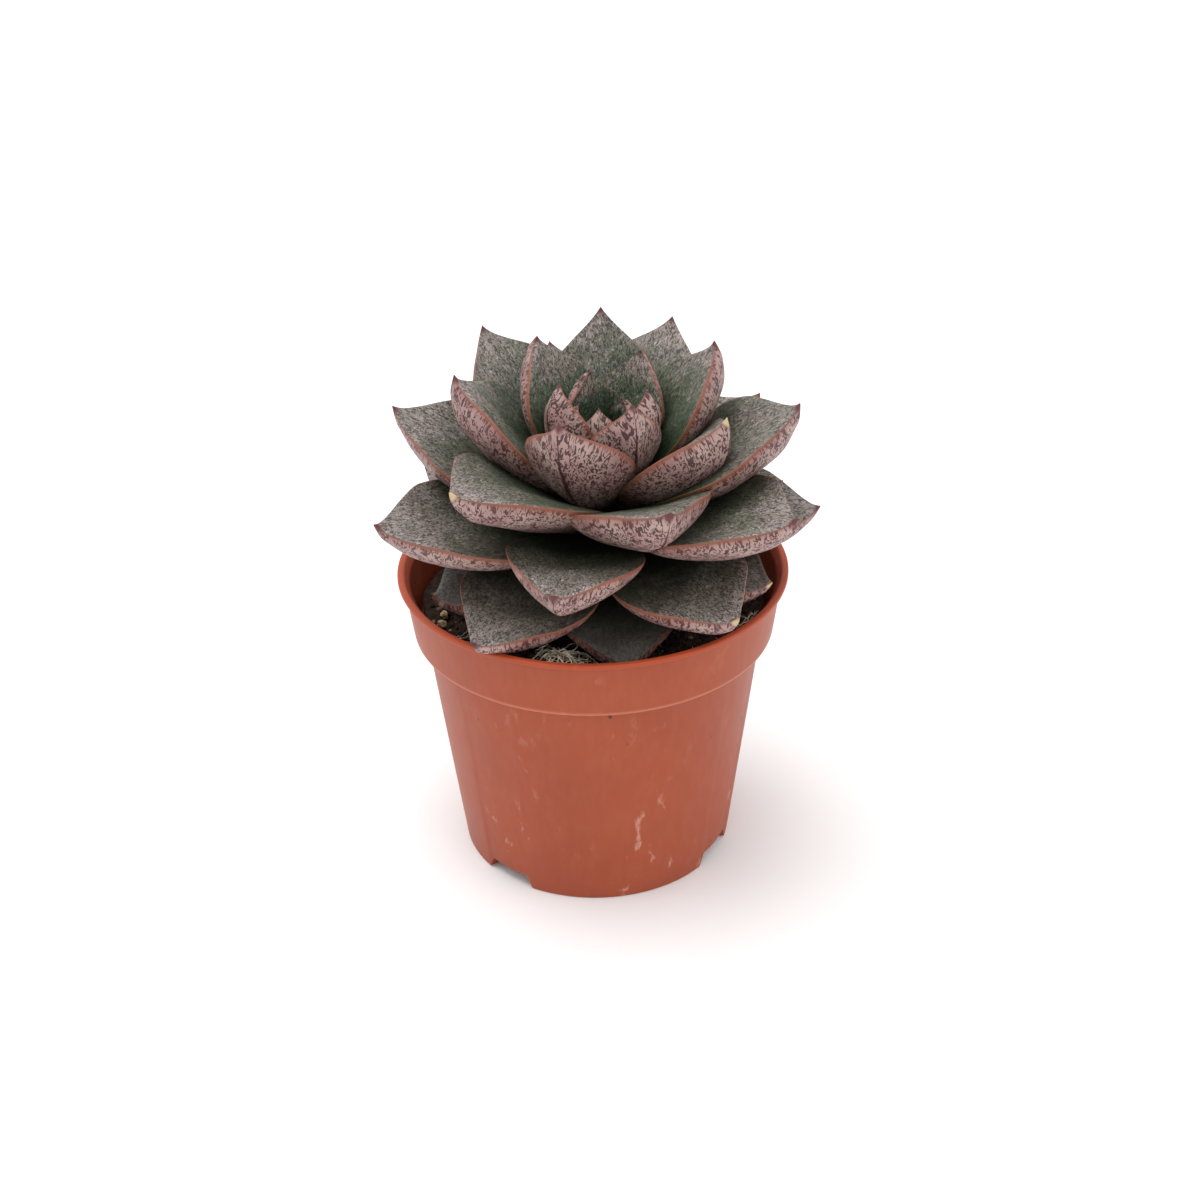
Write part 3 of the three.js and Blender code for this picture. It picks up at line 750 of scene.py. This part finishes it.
def build_leaf(name, leaf, material):
    """A fleshy leaf: flat to cupped upper face, keeled lower face, thin round margins, a fine tip."""
    s = np.linspace(0, 1, LEAF_ROWS) ** 0.9
    half = leaf["width"] / 2 * smooth(OUTLINE, s)
    thick = leaf["thickness"] * smooth(FLESH, s)
    slope = np.radians(leaf["curl"] * (s - 0.5))
    ds = np.diff(s, prepend=0) * leaf["length"]
    y = np.cumsum(ds * np.cos(slope))
    z = np.cumsum(ds * np.sin(slope))
    twist = np.radians(leaf["twist"]) * s
    # The tip's fine point turns up a little.
    z = z + TIP_UPTURN * leaf["length"] * np.clip((s - TIP_START) / (1 - TIP_START), 0, 1) ** 2

    theta = np.linspace(0, TURN, 4 * LEAF_HALF, endpoint=False)
    u = np.cos(theta)
    upper = np.sin(theta) >= -1e-9
    wide = u[None, :] * np.maximum(half, 0.02)[:, None]
    hollow = leaf["cup"] * wide * wide / np.maximum(leaf["width"] / 2 * 0.6, half)[:, None]
    margin = np.sqrt(np.clip(1 - u * u, 0, 1))
    crown = 0.10 * margin ** 2 + 0.05 * margin ** 0.5
    keel = 0.50 * margin + 0.38 * (1 - np.abs(u)) ** 0.95
    section = np.where(upper, crown, -keel)
    lift = hollow + section[None, :] * np.maximum(thick, 0.03)[:, None]

    rng = random.Random(100 + leaf["seed"])
    phase = [rng.uniform(0, TURN) for _ in range(4)]
    grid_s, grid_u = np.meshgrid(s, u, indexing="ij")
    sway = 0.25 * np.sin(grid_s * 3.1 + phase[0]) * grid_s
    dents = (np.sin(grid_s * 9 + 2.4 * grid_u + phase[1]) * np.sin(grid_u * 3.4 + phase[2])
             + 0.5 * np.sin(grid_s * 19 + 5 * grid_u + phase[3]))
    lift = lift + leaf["wrinkle"] * dents * np.clip(grid_s * 3, 0, 1) * np.clip((1 - grid_s) * 8, 0, 1)

    side = np.stack([-np.cos(twist), np.zeros_like(s), np.zeros_like(s)], 1)
    up = np.stack([np.zeros_like(s), -np.sin(slope), np.cos(slope)], 1)
    across_dir = side + np.sin(twist)[:, None] * up
    up_dir = up * np.cos(twist)[:, None] + np.sin(twist)[:, None] * np.array([1.0, 0, 0])
    spine = np.stack([sway[:, 0], y, z], 1)
    points = (spine[:, None, :] + wide[:, :, None] * across_dir[:, None, :]
              + lift[:, :, None] * up_dir[:, None, :])
    matrix = np.array(leaf_matrix(leaf))
    world = points.reshape(-1, 3) @ matrix[:3, :3].T + matrix[:3, 3]

    columns = len(theta)
    faces = [tuple(reversed(f)) for f in grid_faces(LEAF_ROWS, columns)]
    faces.append(tuple(range(columns)))
    faces.append(tuple(reversed(range((LEAF_ROWS - 1) * columns, LEAF_ROWS * columns))))
    obj = mesh_object(name, world, faces, material)
    fix_normals(obj)

    set_attribute(obj, "across", grid_u.ravel())
    set_attribute(obj, "along", grid_s.ravel())
    face_side = np.where(np.abs(u) > 0.995, 0.5, upper.astype(float))
    set_attribute(obj, "upper", np.tile(face_side, LEAF_ROWS))
    set_attribute(obj, "youth", np.full(world.shape[0], leaf["youth"]))
    set_attribute(obj, "dried", np.full(world.shape[0], leaf["dried"]))
    skin = np.stack([wide, np.broadcast_to(y[:, None], wide.shape),
                     np.full(wide.shape, SKIN_STEP * leaf["seed"]) + FACE_STEP * upper[None, :]], 2)
    layer = obj.data.attributes.new("leaf_mm", "FLOAT_VECTOR", "POINT")
    layer.data.foreach_set("vector", skin.reshape(-1).astype(float))
    return obj


def fix_normals(obj):
    bm = bmesh.new()
    bm.from_mesh(obj.data)
    bmesh.ops.recalc_face_normals(bm, faces=bm.faces)
    bm.to_mesh(obj.data)
    bm.free()


def build_rosette(material):
    for i in range(LEAF_COUNT):
        node = f"leaf_{i + 1:02d}"
        leaf = build_leaf(f"skin_{node}", leaf_plan(i), material)
        add_piece(leaf, "leaf", node)


def build_withered(material):
    leaf = dict(compass=-84, width=7, rise=-4, length=11, thickness=1.4, curl=14, twist=8, cup=0.3,
                height=41.6, start=14, seed=77, youth=0, dried=0.0, wrinkle=0.22)
    add_piece(build_leaf("dry_leaf", leaf, material), "leaf_withered", "leaf_withered")


# ---- studio ----
FLOOR_HALF = 3.0           # metres
WORLD_STRENGTH = 0.98
# Fitted by least squares to the pot's rim, band and foot. The place is from the pot's axis at floor height.
CAMERA_PLACE = Vector((0, -238.266, 177.059))
CAMERA_PITCH = 30.257
CAMERA_YAW = 0.223
CAMERA_ROLL = -0.918
CAMERA_LENS = 58.05


def build_camera():
    data = bpy.data.cameras.new("camera")
    data.lens = CAMERA_LENS
    data.sensor_width = 36
    data.clip_start = 0.01
    camera = bpy.data.objects.new("camera", data)
    bpy.context.scene.collection.objects.link(camera)
    yaw, pitch, roll = (math.radians(v) for v in (CAMERA_YAW, CAMERA_PITCH, CAMERA_ROLL))
    forward = Vector((math.sin(yaw) * math.cos(pitch), math.cos(yaw) * math.cos(pitch), -math.sin(pitch)))
    right = Vector((math.cos(yaw), -math.sin(yaw), 0))
    up = right.cross(forward)
    tilted_right = right * math.cos(roll) + up * math.sin(roll)
    tilted_up = up * math.cos(roll) - right * math.sin(roll)
    turn = Matrix((tilted_right, tilted_up, -forward)).transposed().to_4x4()
    camera.matrix_world = Matrix.Translation((AXIS + CAMERA_PLACE) * MM) @ turn
    bpy.context.scene.camera = camera


def area_light(name, place, size, power):
    data = bpy.data.lights.new(name, "AREA")
    data.size = size
    data.energy = power
    lamp = bpy.data.objects.new(name, data)
    lamp.location = place
    lamp.rotation_euler = (Vector((0, 0, 0.04)) - Vector(place)).to_track_quat("-Z", "Y").to_euler()
    bpy.context.scene.collection.objects.link(lamp)


def build_studio():
    mesh = bpy.data.meshes.new("floor")
    corners = [(x * FLOOR_HALF, y * FLOOR_HALF, 0) for x, y in ((-1, -1), (1, -1), (1, 1), (-1, 1))]
    mesh.from_pydata(corners, [], [(0, 1, 2, 3)])
    mesh.materials.append(floor_material())
    floor = bpy.data.objects.new("floor", mesh)
    bpy.context.scene.collection.objects.link(floor)
    world = bpy.data.worlds.new("studio")
    world.use_nodes = True
    background = world.node_tree.nodes["Background"]
    background.inputs["Color"].default_value = (1, 1, 1, 1)
    background.inputs["Strength"].default_value = WORLD_STRENGTH
    bpy.context.scene.world = world
    bpy.context.scene.view_settings.view_transform = "Standard"
    area_light("key", (-0.2, 0.05, 0.8), 0.6, 4.0)
    area_light("fill", (0.5, -0.35, 0.5), 0.6, 1.0)


build_pot(pot_material())
build_soil(soil_material())
build_crumbs(crumb_material())
build_fibres(fibre_material())
build_pumice(pumice_material())
build_stem(stem_material())
build_rosette(leaf_material())
build_withered(withered_material())
build_studio()
build_camera()
